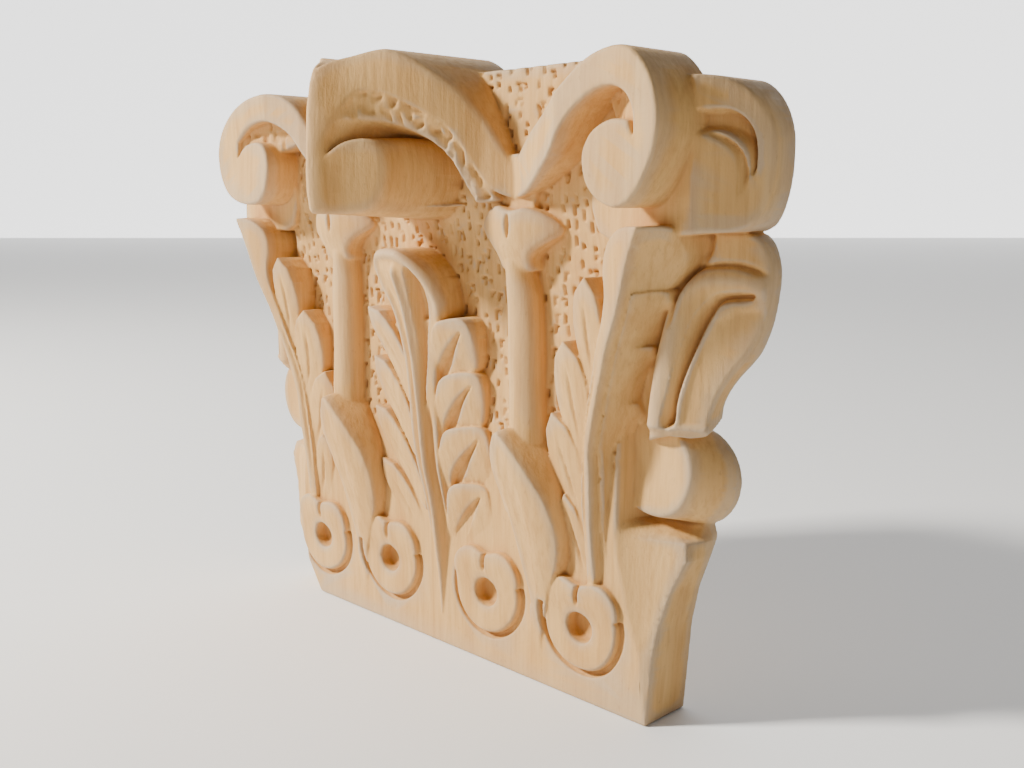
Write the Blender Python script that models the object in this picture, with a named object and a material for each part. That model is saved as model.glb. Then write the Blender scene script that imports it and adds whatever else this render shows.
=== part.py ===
"""Carved wooden capital: one piece of wood, flat at the back, the underside and the top.

Metres, +Z up. X runs across the front, the front faces -Y, and the underside is at Z = 0.
While it is being carved the flat ground of the front lies at Y = 0; carving stands proud of it at
negative Y and the wood reaches BACK_DEPTH behind it.
"""
import math

import bmesh
import bpy
from mathutils import Vector

MM = 0.001

# The block that everything is carved from
BASE_HALF_WIDTH = 57.0 * MM
BASE_FRONT_LEFT_WIDTH = 43.0 * MM
BASE_FRONT_RIGHT_WIDTH = 55.8 * MM
RING_LEVEL_LEFT_WIDTH = 49.8 * MM
RING_LEVEL_RIGHT_WIDTH = 55.2 * MM
LEFT_CORNER_DEPTH = 6.3 * MM
RIGHT_CORNER_DEPTH = 1.2 * MM
FRONT_HALF_WIDTH = 49.8 * MM
FLANK_TAPER = 0.1
SHOULDER_HEIGHT = 31.0 * MM
SHOULDER_HALF_WIDTH = 60.6 * MM
SHOULDER_CORNER_DEPTH = 6.0 * MM
BACK_DEPTH = 11.6 * MM
HEIGHT = 114.5 * MM
LEFT_TOP_CUT_X = 36.5 * MM
LEFT_TOP_CUT_SLOPE = 0.45
RIGHT_TOP_CUT_X = 41.0 * MM
RIGHT_TOP_CUT_SLOPE = 0.62
BELL_START_DROP = 42.5 * MM
BELL_START_HEIGHT = HEIGHT - BELL_START_DROP
BELL_RIM_DROP = 22.5 * MM
BELL_RIM_HEIGHT = HEIGHT - BELL_RIM_DROP
BELL_FLARE = 2.4 * MM

# Side wings: rolled leaf tip, broad U leaf and the side volute, one above the other
ROLL_HEIGHT = 45.4 * MM
ROLL_RADIUS = 8.5 * MM
ROLL_CENTRE_X = 53.3 * MM
ROLL_LEAN = 5.0 * MM
ROLL_DROP = 1.6 * MM
ROLL_FACE_DEPTH = 3.6 * MM
WING_REACH = 71.6 * MM
WING_LEAF_FOOT_HEIGHT = 53.0 * MM
WING_LEAF_TOP_DROP = 28.2 * MM
WING_LEAF_TOP_HEIGHT = HEIGHT - WING_LEAF_TOP_DROP
WING_LEAF_WAIST_X = 60.5 * MM
SIDE_VOLUTE_CENTRE_X = 63.8 * MM
SIDE_VOLUTE_HALF_WIDTH = 10.3 * MM
SIDE_VOLUTE_DROP = 16.3 * MM
SIDE_VOLUTE_HEIGHT = HEIGHT - SIDE_VOLUTE_DROP
SIDE_VOLUTE_RADIUS = 12.2 * MM
SIDE_VOLUTE_EYE_RADIUS = 7.6 * MM
SIDE_VOLUTE_START_TURN = -120.0
SIDE_VOLUTE_END_TURN = 100.0
SIDE_FACE_X = 65.1 * MM
SIDE_FACE_PROUD = 3.0 * MM
SIDE_FACE_SLOPE = 0.95
WING_LEAF_FACE_SLOPE = 0.62
WING_LEAF_BULGE = 1.35
WING_LEAF_FACE_INSET = 4.0 * MM
LEAF_GROOVE_FOOT = 2.0 * MM
CARVED_GROOVE_DEPTH = 1.6 * MM

# Front volutes at the two upper corners, and the bands that lead to them
VOLUTE_CENTRE_X = 50.4 * MM
VOLUTE_RIGHT_DROP = 14.8 * MM
VOLUTE_RIGHT_HEIGHT = HEIGHT - VOLUTE_RIGHT_DROP
VOLUTE_LEFT_DROP = 15.1 * MM
VOLUTE_LEFT_HEIGHT = HEIGHT - VOLUTE_LEFT_DROP
VOLUTE_RADIUS = 14.6 * MM
VOLUTE_RIGHT_PROUD = 12.4 * MM
VOLUTE_LEFT_PROUD = 10.6 * MM
VOLUTE_EYE_X = 54.6 * MM
VOLUTE_EYE_DROP = 16.9 * MM
VOLUTE_EYE_HEIGHT = HEIGHT - VOLUTE_EYE_DROP
VOLUTE_EYE_RADIUS = 7.7 * MM
VOLUTE_HOLLOW_RADIUS = 5.6 * MM
BAND_MEET_UPPER_DROP = 17.2 * MM
BAND_MEET_UPPER_HEIGHT = HEIGHT - BAND_MEET_UPPER_DROP
BAND_MEET_LOWER_DROP = 22.9 * MM
BAND_MEET_LOWER_HEIGHT = HEIGHT - BAND_MEET_LOWER_DROP
BAND_MEET_PROUD = 4.4 * MM
BAND_RAMP_INSET = 6.0 * MM
VOLUTE_START_TURN = 128.0
VOLUTE_END_TURN = -50.0
VOLUTE_HOLLOW_TURN = 140.0

# Central prow: two volutes that meet in an upright edge far in front of the ground
PROW_PROUD = 29.4 * MM
PROW_NOSE_HALF_WIDTH = 0.5 * MM
PROW_BOTTOM_DROP = 24.9 * MM
PROW_BOTTOM_HEIGHT = HEIGHT - PROW_BOTTOM_DROP
PROW_TOP_RISE = 2.5 * MM
PROW_TOP_HEIGHT = HEIGHT + PROW_TOP_RISE
PROW_TOP_X = 10.4 * MM
PROW_NOSE_TOP_DROP = 2.3 * MM
PROW_NOSE_TOP_HEIGHT = HEIGHT - PROW_NOSE_TOP_DROP
PROW_RIM = 2.6 * MM
PROW_EYE_X = 5.4 * MM
PROW_EYE_DROP = 18.1 * MM
PROW_EYE_HEIGHT = HEIGHT - PROW_EYE_DROP
PROW_EYE_HALF_WIDTH = 4.7 * MM
PROW_EYE_RADIUS = 6.8 * MM
PROW_GROUND_PROUD = 6.5 * MM
PROW_HOLLOW_X = 9.6 * MM
PROW_HOLLOW_DROP = 7.5 * MM
PROW_HOLLOW_HEIGHT = HEIGHT - PROW_HOLLOW_DROP

# Stems with buds, the short leaves that they grow from, and the rings along the bottom
STEM_X = 27.2 * MM
STEM_HALF_WIDTH = 3.5 * MM
STEM_PROUD = 5.2 * MM
BUD_HALF_WIDTH = 8.6 * MM
BUD_FOOT_DROP = 34.5 * MM
BUD_FOOT_HEIGHT = HEIGHT - BUD_FOOT_DROP
BUD_TOP_DROP = 24.3 * MM
BUD_TOP_HEIGHT = HEIGHT - BUD_TOP_DROP
BUD_PROUD = 6.4 * MM
SHORT_LEAF_TOP_HEIGHT = 50.0 * MM
SHORT_LEAF_HALF_WIDTH = 8.2 * MM
SHORT_LEAF_PROUD = 8.4 * MM
RING_HEIGHT = 14.6 * MM
RING_INNER_X = 15.3 * MM
RING_OUTER_X = 40.3 * MM
RING_RADIUS = 8.8 * MM
RING_HOLE_RADIUS = 3.4 * MM
RING_HOLE_DEPTH = 3.0 * MM
RING_PROUD = 0.8 * MM
RING_GROOVE_WIDTH = 1.3 * MM
RING_GROOVE_DEPTH = 1.2 * MM
RING_LOBE_TURN = 130.0

# Tall lobed leaves: one in the middle and one on each front corner
LEAF_FOOT_HEIGHT = 20.0 * MM
CENTRE_LEAF_DROP = 32.5 * MM
CENTRE_LEAF_HEIGHT = HEIGHT - CENTRE_LEAF_DROP
CENTRE_LEAF_HALF_WIDTH = 18.5 * MM
CENTRE_LEAF_PROUD = 9.9 * MM
CORNER_LEAF_DROP = 27.1 * MM
CORNER_LEAF_HEIGHT = HEIGHT - CORNER_LEAF_DROP
CORNER_LEAF_FOOT_X = 43.4 * MM
CORNER_LEAF_TIP_X = 58.4 * MM
CORNER_LEAF_INNER_WIDTH = 13.0 * MM
CORNER_LEAF_OUTER_WIDTH = 6.4 * MM
CORNER_LEAF_PROUD = 9.8 * MM
LEAF_FLARE = 2.0
LEAF_INNER_FALL = 0.30
LEAF_OUTER_FALL = 1.0
LEAFLETS_EACH_SIDE = 4

# Every applied form is rooted this deep in the block, and forms that meet overlap by this much
ROOT_DEPTH = 6.0 * MM
OVERLAP = 1.0 * MM
ARC_STEP = math.radians(15.0)
FULL_TURN = 345.0
PLANE_CUTTER_SIZE = 0.25

SIDES = (-1, 1)

WOOD_COLOUR = (0.66, 0.44, 0.25, 1.0)
WOOD_ROUGHNESS = 0.72


def new_collection(name):
    collection = bpy.data.collections.new(name)
    bpy.context.scene.collection.children.link(collection)
    return collection


def arc(centre_x, centre_z, radius, start, end, radius_z=None):
    """Points on an arc, in degrees, with its own height radius when it is an ellipse."""
    start, end = math.radians(start), math.radians(end)
    steps = max(2, round(abs(end - start) / ARC_STEP))
    tall = radius if radius_z is None else radius_z
    turns = [start + (end - start) * step / steps for step in range(steps + 1)]
    return [(centre_x + radius * math.cos(turn), centre_z + tall * math.sin(turn)) for turn in turns]


def mesh_object(name, mesh, collection):
    made = bpy.data.objects.new(name, mesh)
    collection.objects.link(made)
    made.parent = stand
    if collection is not part_collection:
        made.hide_render = True
        made.display_type = "WIRE"
    return made


def flat_piece(name, points, front, back, collection):
    """A flat outline in X and Z, given a thickness along Y from front to back."""
    curve = bpy.data.curves.new(name, "CURVE")
    curve.dimensions = "2D"
    curve.fill_mode = "BOTH"
    curve.extrude = (back - front) / 2
    spline = curve.splines.new("POLY")
    spline.points.add(len(points) - 1)
    for spline_point, (x, z) in zip(spline.points, points):
        spline_point.co = (x, z, 0.0, 1.0)
    spline.use_cyclic_u = True
    drawn = bpy.data.objects.new(name + "_outline", curve)
    bpy.context.scene.collection.objects.link(drawn)
    evaluated = drawn.evaluated_get(bpy.context.evaluated_depsgraph_get())
    mesh = bpy.data.meshes.new_from_object(evaluated)
    bpy.data.objects.remove(drawn)
    shaped = bmesh.new()
    shaped.from_mesh(mesh)
    bmesh.ops.remove_doubles(shaped, verts=shaped.verts, dist=0.02 * MM)
    for vertex in shaped.verts:
        across, up, through = vertex.co
        vertex.co = (across, (front + back) / 2 - through, up)
    bmesh.ops.recalc_face_normals(shaped, faces=shaped.faces)
    shaped.to_mesh(mesh)
    shaped.free()
    mesh.name = name
    return mesh_object(name, mesh, collection)


def loft(name, sections, collection):
    """A closed skin over rings of points, each ring with as many points as the first."""
    shaped = bmesh.new()
    rings = [[shaped.verts.new(point) for point in section] for section in sections]
    count = len(rings[0])
    for lower, upper in zip(rings, rings[1:]):
        for index in range(count):
            following = (index + 1) % count
            shaped.faces.new((lower[index], lower[following], upper[following], upper[index]))
    shaped.faces.new(rings[0])
    shaped.faces.new(rings[-1])
    bmesh.ops.recalc_face_normals(shaped, faces=shaped.faces)
    mesh = bpy.data.meshes.new(name)
    shaped.to_mesh(mesh)
    shaped.free()
    return mesh_object(name, mesh, collection)


def plane_cutter(name, point, normal):
    """A cube that takes away everything on the normal's side of a plane."""
    direction = Vector(normal).normalized()
    shaped = bmesh.new()
    bmesh.ops.create_cube(shaped, size=PLANE_CUTTER_SIZE)
    mesh = bpy.data.meshes.new(name)
    shaped.to_mesh(mesh)
    shaped.free()
    cutter = mesh_object(name, mesh, tool_collection)
    cutter.rotation_mode = "QUATERNION"
    cutter.rotation_quaternion = direction.to_track_quat("Z", "Y")
    cutter.location = Vector(point) + direction * (PLANE_CUTTER_SIZE / 2)
    return cutter


def boolean(target, operand, operation):
    modifier = target.modifiers.new(operand.name, "BOOLEAN")
    modifier.operation = operation
    modifier.solver = "EXACT"
    if isinstance(operand, bpy.types.Collection):
        modifier.operand_type = "COLLECTION"
        modifier.collection = operand
    else:
        modifier.object = operand
    return modifier


def bell_front(height):
    """Where the ground of the front lies at a height: it flares forward below the rim."""
    share = (height - BELL_START_HEIGHT) / (BELL_RIM_HEIGHT - BELL_START_HEIGHT)
    share = min(max(share, 0.0), 1.0)
    return -BELL_FLARE * share * share


def block():
    """The board: its corners are cut back on a slant and its front flares below the rim.

    The left foot is cut back further than the right one, and both ends of the top slope down.
    """
    neck = ROLL_CENTRE_X + 0.4 * ROLL_RADIUS
    rim = [BELL_START_HEIGHT + (BELL_RIM_HEIGHT - BELL_START_HEIGHT) * step / 4 for step in range(5)]
    left_foot = (BASE_FRONT_LEFT_WIDTH, LEFT_CORNER_DEPTH)
    right_foot = (BASE_FRONT_RIGHT_WIDTH, RIGHT_CORNER_DEPTH)
    upper_corner = (FRONT_HALF_WIDTH, SHOULDER_CORNER_DEPTH)
    profile = [
        (0.0, left_foot, right_foot, BASE_HALF_WIDTH),
        (RING_HEIGHT, (RING_LEVEL_LEFT_WIDTH, LEFT_CORNER_DEPTH / 2),
         (RING_LEVEL_RIGHT_WIDTH, RIGHT_CORNER_DEPTH), BASE_HALF_WIDTH),
        (SHOULDER_HEIGHT, upper_corner, upper_corner, SHOULDER_HALF_WIDTH),
    ]
    upper_heights = [WING_LEAF_FOOT_HEIGHT] + rim + [HEIGHT]
    profile += [(height, upper_corner, upper_corner, neck) for height in upper_heights]
    sections = []
    for height, (left_width, left_depth), (right_width, right_depth), back in profile:
        front = bell_front(height)
        sections.append([
            (-back, BACK_DEPTH, height),
            (FLANK_TAPER * (BACK_DEPTH - left_depth) - back, left_depth, height),
            (-left_width, front, height),
            (right_width, front, height),
            (back - FLANK_TAPER * (BACK_DEPTH - right_depth), right_depth, height),
            (back, BACK_DEPTH, height),
        ])
    board = loft("capital", sections, part_collection)
    cuts = (("left_top_cut", -LEFT_TOP_CUT_X, -LEFT_TOP_CUT_SLOPE),
            ("right_top_cut", RIGHT_TOP_CUT_X, RIGHT_TOP_CUT_SLOPE))
    for name, cut_x, slope in cuts:
        boolean(board, plane_cutter(name, (cut_x, 0.0, HEIGHT), (slope, 0.0, 1.0)), "DIFFERENCE")
    return board


def mirrored(points, side):
    return [(side * x, z) for x, z in points]


def wing(side):
    """One side, from below: the rolled leaf tip, the broad leaf and the side volute."""
    label = "left" if side < 0 else "right"
    inner = FRONT_HALF_WIDTH - ROOT_DEPTH
    rolls = []
    for depth, lean, drop in ((ROLL_FACE_DEPTH, 0.0, 0.0), (BACK_DEPTH, ROLL_LEAN, ROLL_DROP)):
        circle = arc(ROLL_CENTRE_X + lean, ROLL_HEIGHT - drop, ROLL_RADIUS, 0, FULL_TURN)
        rolls.append([(side * x, depth, z) for x, z in circle])
    loft(f"roll_{label}", rolls, form_collection)

    reach = WING_REACH - WING_LEAF_WAIST_X
    leaf_height = WING_LEAF_TOP_HEIGHT - WING_LEAF_FOOT_HEIGHT
    leaf = [(inner, WING_LEAF_FOOT_HEIGHT), (WING_LEAF_WAIST_X, WING_LEAF_FOOT_HEIGHT)]
    for step in range(1, 9):
        share = step / 8
        bulge = math.sin(math.pi * share ** WING_LEAF_BULGE * 0.82)
        leaf.append((WING_LEAF_WAIST_X + reach * bulge, WING_LEAF_FOOT_HEIGHT + leaf_height * share))
    leaf.append((inner, WING_LEAF_TOP_HEIGHT))
    broad = side_piece(f"wing_leaf_{label}", leaf, side)

    curl = arc(SIDE_VOLUTE_CENTRE_X, SIDE_VOLUTE_HEIGHT, SIDE_VOLUTE_HALF_WIDTH,
               SIDE_VOLUTE_START_TURN, SIDE_VOLUTE_END_TURN, SIDE_VOLUTE_RADIUS)
    curl.append((inner, SIDE_VOLUTE_HEIGHT + SIDE_VOLUTE_RADIUS))
    curl.append((inner, WING_LEAF_TOP_HEIGHT - OVERLAP))
    volute = side_piece(f"side_volute_{label}", curl, side)

    boolean(volute, volute_face(side, 0.0), "DIFFERENCE")
    boolean(broad, leaf_face(side, 0.0), "DIFFERENCE")
    boolean(volute, side_hollow(side), "DIFFERENCE")
    boolean(broad, leaf_groove(side), "DIFFERENCE")


def side_piece(name, points, side):
    return flat_piece(name, mirrored(points, side), -SIDE_FACE_PROUD, BACK_DEPTH, form_collection)


def volute_face(side, depth):
    """Cutter for the slanting face of the side volute, or for a floor this deep behind it."""
    facing = 1.0 if depth == 0.0 else -1.0
    point = (side * SIDE_FACE_X, depth - SIDE_FACE_PROUD, SIDE_VOLUTE_HEIGHT)
    normal = (facing * side * SIDE_FACE_SLOPE, -facing, 0.0)
    return plane_cutter(f"volute_face_{side}_{depth}", point, normal)


def leaf_face(side, depth):
    """Cutter for the slanting face of the broad side leaf, or for a floor this deep behind it."""
    facing = 1.0 if depth == 0.0 else -1.0
    face_x = side * (WING_LEAF_WAIST_X - WING_LEAF_FACE_INSET)
    point = (face_x, depth - SIDE_FACE_PROUD, WING_LEAF_FOOT_HEIGHT)
    normal = (facing * side * WING_LEAF_FACE_SLOPE, -facing, 0.0)
    return plane_cutter(f"leaf_face_{side}_{depth}", point, normal)


def front_volute(side):
    """Corner volute of the front: rim, eye and the band that comes up to it from the bud."""
    label = "left" if side < 0 else "right"
    middle_height, proud = VOLUTE_RIGHT_HEIGHT, VOLUTE_RIGHT_PROUD
    if side < 0:
        middle_height, proud = VOLUTE_LEFT_HEIGHT, VOLUTE_LEFT_PROUD
    outline = [(STEM_X, BAND_MEET_UPPER_HEIGHT)]
    outline += arc(VOLUTE_CENTRE_X, middle_height, VOLUTE_RADIUS, VOLUTE_START_TURN, VOLUTE_END_TURN)
    outline += arc(VOLUTE_EYE_X, VOLUTE_EYE_HEIGHT, VOLUTE_EYE_RADIUS, -75, -318)
    hollow_height = VOLUTE_EYE_HEIGHT + VOLUTE_EYE_RADIUS - 0.35 * VOLUTE_HOLLOW_RADIUS
    outline += arc(VOLUTE_EYE_X, hollow_height, VOLUTE_HOLLOW_RADIUS, 0, VOLUTE_HOLLOW_TURN)
    outline += [(STEM_X, BAND_MEET_LOWER_HEIGHT)]
    piece = flat_piece(f"volute_{label}", mirrored(outline, side), -proud, ROOT_DEPTH, form_collection)
    rise = (proud - BAND_MEET_PROUD) / (VOLUTE_CENTRE_X - BAND_RAMP_INSET - STEM_X)
    ramp_point = (side * STEM_X, -BAND_MEET_PROUD, BAND_MEET_UPPER_HEIGHT)
    ramp = plane_cutter(f"band_ramp_{label}", ramp_point, (-side * rise, -1.0, 0.0))
    boolean(piece, ramp, "DIFFERENCE")


def prow(side):
    """Half of the prow: the nose rim, the eye and the band that falls back to the bud."""
    label = "left" if side < 0 else "right"
    fall = (PROW_PROUD - BAND_MEET_PROUD) / (STEM_X - PROW_NOSE_HALF_WIDTH)
    middle = -PROW_NOSE_HALF_WIDTH
    rim = [(middle, PROW_BOTTOM_HEIGHT), (PROW_EYE_X, PROW_EYE_HEIGHT - PROW_EYE_RADIUS)]
    rim += [(PROW_RIM, PROW_EYE_HEIGHT), (1.3 * PROW_RIM, PROW_EYE_HEIGHT + 1.1 * PROW_EYE_RADIUS)]
    rim += [(PROW_HOLLOW_X, PROW_HOLLOW_HEIGHT), (0.6 * STEM_X, PROW_HOLLOW_HEIGHT - 0.7 * PROW_RIM)]
    rim += [(STEM_X, BAND_MEET_LOWER_HEIGHT), (STEM_X, BAND_MEET_UPPER_HEIGHT)]
    rise = PROW_TOP_HEIGHT - BAND_MEET_UPPER_HEIGHT
    for share in (0.87, 0.70, 0.52, 0.28, 0.0):
        across = PROW_TOP_X + share * (STEM_X - PROW_TOP_X)
        rim.append((across, BAND_MEET_UPPER_HEIGHT + rise * (1.0 - share ** 1.5)))
    rim += [(0.45 * PROW_TOP_X, PROW_TOP_HEIGHT - 0.3 * (PROW_TOP_HEIGHT - PROW_NOSE_TOP_HEIGHT))]
    rim += [(0.0, PROW_NOSE_TOP_HEIGHT), (middle, PROW_NOSE_TOP_HEIGHT)]
    band = flat_piece(f"prow_{label}", mirrored(rim, side), -PROW_PROUD, ROOT_DEPTH, form_collection)
    cap = arc(PROW_EYE_X, PROW_EYE_HEIGHT, PROW_EYE_HALF_WIDTH, 0, FULL_TURN, PROW_EYE_RADIUS)
    eye = flat_piece(f"prow_eye_{label}", mirrored(cap, side), -PROW_PROUD, ROOT_DEPTH, form_collection)
    nose = (side * PROW_NOSE_HALF_WIDTH, -PROW_PROUD, PROW_BOTTOM_HEIGHT)
    facet = plane_cutter(f"prow_facet_{label}", nose, (side * fall, -1.0, 0.0))
    boolean(band, facet, "DIFFERENCE")
    boolean(eye, facet, "DIFFERENCE")

    floor_rim = (PROW_RIM, -PROW_PROUD + fall * PROW_RIM + CARVED_GROOVE_DEPTH)
    floor_eye = (PROW_EYE_X + PROW_EYE_HALF_WIDTH, -PROW_GROUND_PROUD)
    floor_end = (0.75 * STEM_X, -BELL_FLARE)
    plan = [(middle, ROOT_DEPTH), (middle, floor_rim[1]), floor_rim, floor_eye, floor_end]
    plan.append((floor_end[0], ROOT_DEPTH))
    levels = (PROW_BOTTOM_HEIGHT + OVERLAP, PROW_HOLLOW_HEIGHT + OVERLAP)
    sections = [[(side * x, y, level) for x, y in plan] for level in levels]
    loft(f"prow_floor_{label}", sections, form_collection)


def lobed_half(foot, top, half_width, lean):
    """One half of a tall leaf's outline, from foot to tip, with leaflets that rise outward."""
    height = top - foot
    first = foot + 0.06 * height
    pitch = 0.70 * height / LEAFLETS_EACH_SIDE
    points = [(0.28 * half_width, foot)]
    for index in range(LEAFLETS_EACH_SIDE):
        low = first + index * pitch
        spread = half_width * (0.78 + 0.22 * math.sin(math.pi * (index + 0.6) / LEAFLETS_EACH_SIDE))
        points += [
            (0.42 * half_width, low),
            (0.86 * spread, low + 0.50 * pitch),
            (spread, low + 1.02 * pitch),
            (0.90 * spread, low + 1.16 * pitch),
            (0.50 * half_width, low + 1.02 * pitch),
        ]
    tip = first + LEAFLETS_EACH_SIDE * pitch
    rest = top - tip
    points += [
        (0.58 * half_width, tip + 0.25 * rest),
        (0.52 * half_width, tip + 0.60 * rest),
        (0.36 * half_width, tip + 0.90 * rest),
        (0.10 * half_width, top),
    ]
    return [(x + lean * ((z - foot) / height) ** LEAF_FLARE, z) for x, z in points]


def tall_leaf(name, side, foot_x, tip_x, top, widths, proud):
    """A lobed leaf whose face falls from a ridge and comes forward toward the tip.

    Distances across are measured away from the middle of the front; side -1 mirrors the leaf.
    """
    lean = tip_x - foot_x
    inner_width, outer_width = widths
    outer = lobed_half(LEAF_FOOT_HEIGHT, top, outer_width, lean)
    inner = lobed_half(LEAF_FOOT_HEIGHT, top, inner_width, -lean)
    outline = [(foot_x + x, z) for x, z in outer] + [(foot_x - x, z) for x, z in reversed(inner)]
    piece = flat_piece(name, mirrored(outline, side), -proud, ROOT_DEPTH, form_collection)
    outer_fall = LEAF_INNER_FALL if outer_width == inner_width else LEAF_OUTER_FALL
    sections = []
    for share in (-0.03, 0.25, 0.55, 0.80, 1.03):
        level = LEAF_FOOT_HEIGHT + share * (top - LEAF_FOOT_HEIGHT)
        grown = max(share, 0.0)
        middle = foot_x + lean * grown ** LEAF_FLARE
        ridge = -(0.32 + 0.68 * grown ** 1.2) * proud
        inner_x, outer_x = middle - 1.3 * inner_width, middle + 1.3 * outer_width
        section = [
            (inner_x, ridge + LEAF_INNER_FALL * proud),
            (middle, ridge),
            (outer_x, ridge + outer_fall * proud),
            (outer_x, 2 * ROOT_DEPTH),
            (inner_x, 2 * ROOT_DEPTH),
        ]
        sections.append([(side * x, y, level) for x, y in section])
    boolean(piece, loft(f"{name}_roof", sections, tool_collection), "INTERSECT")


def short_leaf(side):
    """Smooth pointed leaf between two rings, wide at the tip and narrow at the foot."""
    label = "left" if side < 0 else "right"
    x = side * STEM_X
    foot = RING_HEIGHT - 0.6 * RING_RADIUS
    height = SHORT_LEAF_TOP_HEIGHT - foot
    sections = []
    for share in (0.0, 0.25, 0.5, 0.75, 0.92, 1.0):
        level = foot + share * height
        half = SHORT_LEAF_HALF_WIDTH * (0.22 + 0.78 * math.sin(0.5 * math.pi * share) ** 1.4)
        half *= 1.0 if share < 0.9 else 0.80
        front = -(0.10 + 0.90 * share ** 1.3) * SHORT_LEAF_PROUD
        front *= 1.0 if share < 1.0 else 0.86
        sections.append([
            (x - half, 0.45 * front, level),
            (x - 0.5 * half, 0.92 * front, level),
            (x, front, level),
            (x + 0.5 * half, 0.92 * front, level),
            (x + half, 0.45 * front, level),
            (x + half, ROOT_DEPTH, level),
            (x - half, ROOT_DEPTH, level),
        ])
    loft(f"short_leaf_{label}", sections, form_collection)


def stem(side):
    label = "left" if side < 0 else "right"
    x = side * STEM_X
    outline = [
        (x - STEM_HALF_WIDTH, SHORT_LEAF_TOP_HEIGHT - ROOT_DEPTH),
        (x + STEM_HALF_WIDTH, SHORT_LEAF_TOP_HEIGHT - ROOT_DEPTH),
        (x + STEM_HALF_WIDTH, BUD_FOOT_HEIGHT + OVERLAP),
        (x - STEM_HALF_WIDTH, BUD_FOOT_HEIGHT + OVERLAP),
    ]
    piece = flat_piece(f"stem_{label}", outline, -STEM_PROUD, ROOT_DEPTH, form_collection)
    for corner in SIDES:
        point = (x + corner * 0.45 * STEM_HALF_WIDTH, -STEM_PROUD, BUD_FOOT_HEIGHT)
        chamfer = plane_cutter(f"stem_chamfer_{label}_{corner + 1}", point, (corner * 1.0, -1.0, 0.0))
        boolean(piece, chamfer, "DIFFERENCE")


def bud(side):
    """Tulip-shaped bud of two lobes, with its sides drawn out to points."""
    label = "left" if side < 0 else "right"
    x = side * STEM_X
    rise = BUD_TOP_HEIGHT - BUD_FOOT_HEIGHT
    half = [
        (0.42 * BUD_HALF_WIDTH, 0.0),
        (0.50 * BUD_HALF_WIDTH, 0.30 * rise),
        (0.72 * BUD_HALF_WIDTH, 0.52 * rise),
        (BUD_HALF_WIDTH, 0.70 * rise),
        (0.70 * BUD_HALF_WIDTH, 0.86 * rise),
        (0.35 * BUD_HALF_WIDTH, rise),
        (0.0, 0.92 * rise),
    ]
    points = half + [(-across, up) for across, up in reversed(half[:-1])]
    outline = [(x + across, BUD_FOOT_HEIGHT + up) for across, up in points]
    piece = flat_piece(f"bud_{label}", outline, -BUD_PROUD, ROOT_DEPTH, form_collection)
    for corner in SIDES:
        point = (x + corner * 0.4 * BUD_HALF_WIDTH, -BUD_PROUD, BUD_FOOT_HEIGHT)
        chamfer = plane_cutter(f"bud_chamfer_{label}_{corner + 1}", point, (corner * 0.8, -1.0, 0.0))
        boolean(piece, chamfer, "DIFFERENCE")


def ring(index, x):
    """A ring with a groove round its foot, a blind hole and a split top of two lobes."""
    outer = arc(0.0, RING_HEIGHT, RING_RADIUS, -208, 28)
    lobe = 0.46 * RING_RADIUS
    lobe_height = RING_HEIGHT + 0.72 * RING_RADIUS
    outer += arc(lobe, lobe_height, lobe, 15, RING_LOBE_TURN)
    outer += [(0.0, lobe_height + 0.1 * lobe)]
    outer += arc(-lobe, lobe_height, lobe, 180 - RING_LOBE_TURN, 165)
    outline = [(x + across, z) for across, z in outer]
    flat_piece(f"ring_{index}", outline, -RING_PROUD, ROOT_DEPTH, form_collection)
    flat_piece(f"ring_hole_{index}", arc(x, RING_HEIGHT, RING_HOLE_RADIUS, 0, FULL_TURN),
               -RING_PROUD - ROOT_DEPTH, RING_HOLE_DEPTH - RING_PROUD, cutter_collection)
    groove_points = arc(x, RING_HEIGHT, RING_RADIUS + RING_GROOVE_WIDTH, -190, 10)
    groove_points += arc(x, RING_HEIGHT, RING_RADIUS, 10, -190)
    flat_piece(f"ring_groove_{index}", groove_points, -RING_PROUD - ROOT_DEPTH, RING_GROOVE_DEPTH,
               cutter_collection)


def side_hollow(side):
    """Gouged crescent over the eye of the side volute."""
    across = SIDE_VOLUTE_HALF_WIDTH * SIDE_VOLUTE_EYE_RADIUS / SIDE_VOLUTE_RADIUS
    upper = arc(SIDE_VOLUTE_CENTRE_X, SIDE_VOLUTE_HEIGHT, across, -10, 170, SIDE_VOLUTE_EYE_RADIUS)
    lower = arc(SIDE_VOLUTE_CENTRE_X, SIDE_VOLUTE_HEIGHT, 0.97 * across, 170, -10,
                0.6 * SIDE_VOLUTE_EYE_RADIUS)
    outline = mirrored(upper + lower, side)
    hollow = flat_piece(f"side_hollow_{side}", outline, -PROW_PROUD, BACK_DEPTH / 2, tool_collection)
    boolean(hollow, volute_face(side, CARVED_GROOVE_DEPTH), "DIFFERENCE")
    return hollow


def leaf_groove(side):
    """Gouge that follows the round end of the broad side leaf."""
    middle_x = WING_LEAF_WAIST_X + 0.22 * (WING_REACH - WING_LEAF_WAIST_X)
    middle_z = WING_LEAF_FOOT_HEIGHT + 0.62 * (WING_LEAF_TOP_HEIGHT - WING_LEAF_FOOT_HEIGHT)
    wide = 0.42 * (WING_REACH - WING_LEAF_WAIST_X)
    tall = 0.24 * (WING_LEAF_TOP_HEIGHT - WING_LEAF_FOOT_HEIGHT)
    foot = WING_LEAF_FOOT_HEIGHT + LEAF_GROOVE_FOOT
    points = [(middle_x + 0.5 * wide, foot)] + arc(middle_x, middle_z, wide, 0, 180, tall)
    points += [(middle_x - wide, foot), (middle_x - 0.72 * wide, foot)]
    points += arc(middle_x, middle_z, 0.72 * wide, 180, 0, 0.86 * tall)
    points += [(middle_x + 0.32 * wide, foot)]
    outline = mirrored(points, side)
    groove = flat_piece(f"leaf_groove_{side}", outline, -PROW_PROUD, BACK_DEPTH / 2, tool_collection)
    boolean(groove, leaf_face(side, CARVED_GROOVE_DEPTH), "DIFFERENCE")
    return groove


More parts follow.
